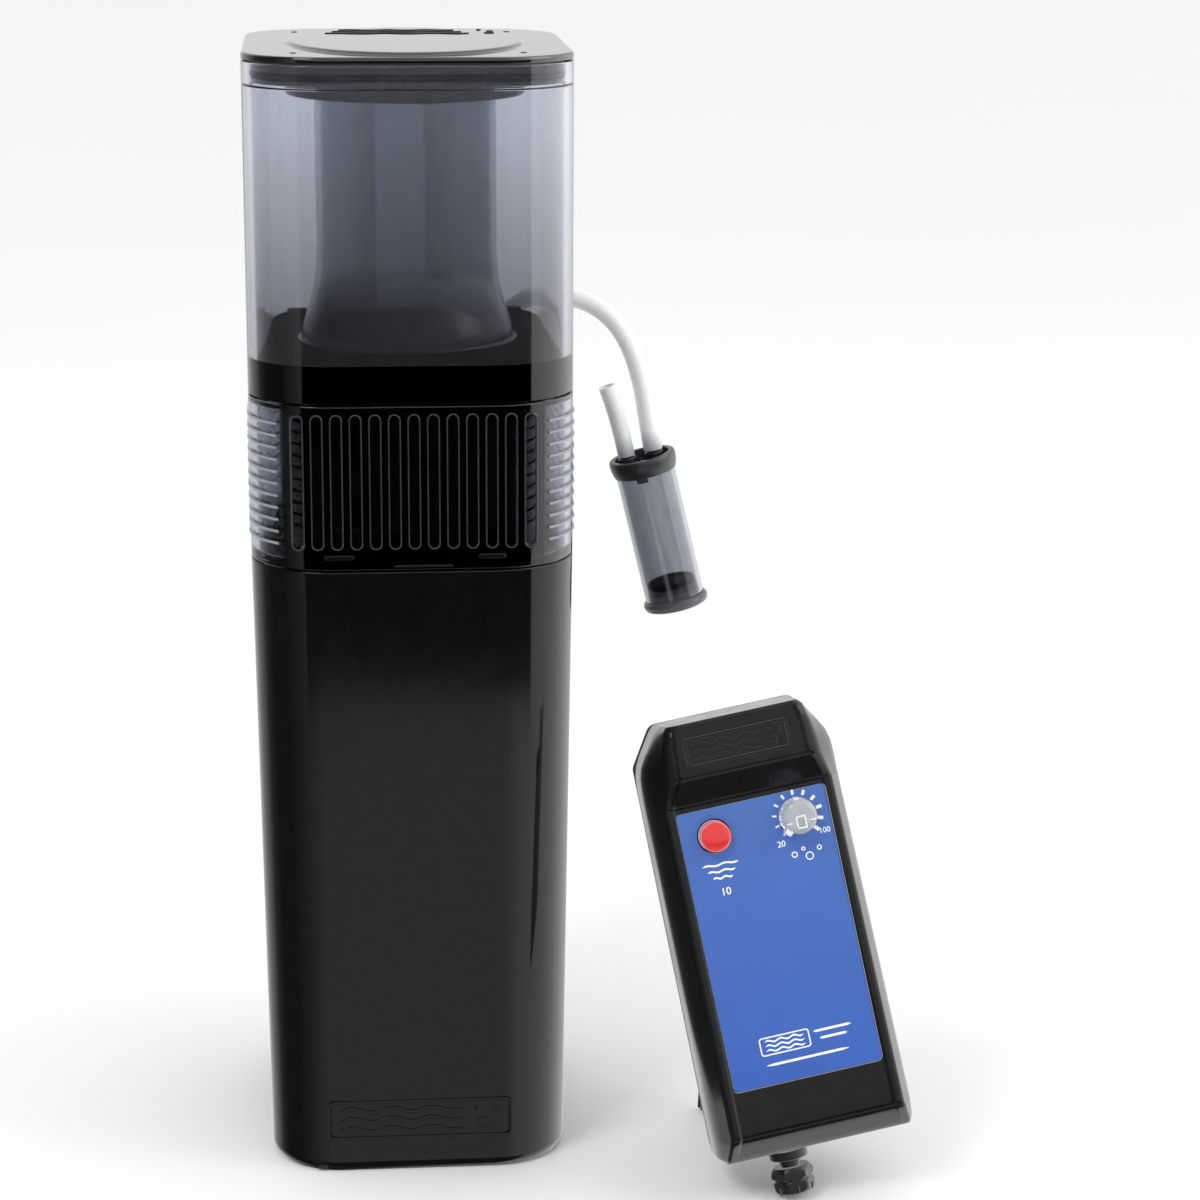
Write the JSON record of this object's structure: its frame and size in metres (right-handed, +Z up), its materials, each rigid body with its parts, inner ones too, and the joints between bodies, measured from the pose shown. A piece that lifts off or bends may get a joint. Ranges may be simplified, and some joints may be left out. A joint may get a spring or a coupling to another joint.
{
  "type": "protein skimmer",
  "caption": "Square-column aquarium protein skimmer with comb ring, smoked cup and lid, air silencer on a hose, and a hand controller with knob and button.",
  "frame": {"origin": "centre of the flat underside of the column", "axes": "+Z up along the column, -Y out of the front with the comb, +X to the right seen from the front"},
  "size_m": [0.1882, 0.1507, 0.325],
  "materials": {
    "black": "gloss moulded black plastic",
    "grey": "satin grey plastic",
    "white": "ceramic white",
    "smoke": "clear smoked plastic",
    "foam": "open-cell foam",
    "rubber": "matt black rubber",
    "steel": "plated steel",
    "silicone": "translucent white silicone",
    "frost": "translucent grey plastic",
    "blue": "satin blue panel",
    "red": "gloss red plastic",
    "clear": "clear plastic",
    "board": "green laminate"
  },
  "bodies": {
    "column": {"housing": "black", "outlet_foam": "foam", "air_fitting": "black", "magnet_holder": "black", "magnet_left": "steel", "magnet_right": "steel", "magnet_pad": "rubber", "pump_motor": "black", "motor_cap": "grey", "pump_volute": "black", "shaft": "white", "rear_bush": "rubber", "front_bush": "rubber", "cradle_front": "rubber", "cradle_rear": "rubber", "inner_air_tube": "silicone", "air_hose": "silicone", "silencer_cap": "black", "stub_hose": "silicone"},
    "rotor": {"rotor_magnet": "grey", "needle_wheel": "white"},
    "chamber": {"chamber": "black", "neck_seal": "rubber"},
    "ring": {"comb_ring": "smoke"},
    "cup": {"cup": "smoke"},
    "lid": {"lid": "black", "lid_gasket": "rubber"},
    "silencer": {"silencer_tube": "frost", "silencer_base": "frost", "silencer_foam": "foam"},
    "controller": {"controller_shell": "black", "controller_back": "black", "case_screw_1": "steel", "case_screw_2": "steel", "case_screw_3": "steel", "case_screw_4": "steel", "circuit_board": "board", "face_panel": "blue", "hood": "black", "switch": "grey", "button_spring": "steel", "potentiometer": "grey", "power_inlet": "black", "gland_body": "black", "gland_nut": "black", "gland_seal": "rubber", "stand_base": "black"},
    "button": {"button": "red"},
    "knob": {"knob": "clear"},
    "stand": {"stand": "black"}
  },
  "joints": [
    {"name": "pump_rotor_spin", "type": "hinge", "parent": "column", "child": "rotor", "pos_m": [0, 0, 0.03], "axis": [0, 1, 0], "continuous": true},
    {"name": "chamber_lift", "type": "slide", "parent": "column", "child": "chamber", "axis": [0, 0, 1], "range_m": [0, 0.25]},
    {"name": "ring_lift", "type": "slide", "parent": "chamber", "child": "ring", "axis": [0, 0, 1], "range_m": [0, 0.09]},
    {"name": "cup_lift", "type": "slide", "parent": "ring", "child": "cup", "axis": [0, 0, 1], "range_m": [0, 0.09]},
    {"name": "lid_lift", "type": "slide", "parent": "cup", "child": "lid", "axis": [0, 0, 1], "range_m": [0, 0.08]},
    {"name": "silencer_pull", "type": "slide", "parent": "column", "child": "silencer", "axis": [0.2334, 0, -0.9724], "range_m": [0, 0.03]},
    {"name": "controller_lift", "type": "slide", "parent": "column", "child": "controller", "axis": [0, 0, 1], "range_m": [0, 0.15]},
    {"name": "button_press", "type": "slide", "parent": "controller", "child": "button", "axis": [0, 0.9703, -0.2419], "range_m": [0, 0.0015], "stiffness_N_per_m": 400, "springref_m": -0.0005, "deforming": ["button_spring"]},
    {"name": "speed_knob_turn", "type": "hinge", "parent": "controller", "child": "knob", "pos_m": [0.10767, -0.06521, 0.11122], "axis": [0, 0.9703, -0.2419], "range_deg": [0, 270]},
    {"name": "stand_fold", "type": "hinge", "parent": "controller", "child": "stand", "pos_m": [0.09852, -0.03687, 0.086], "axis": [1, 0, 0], "range_deg": [-28, 0]}
  ]
}
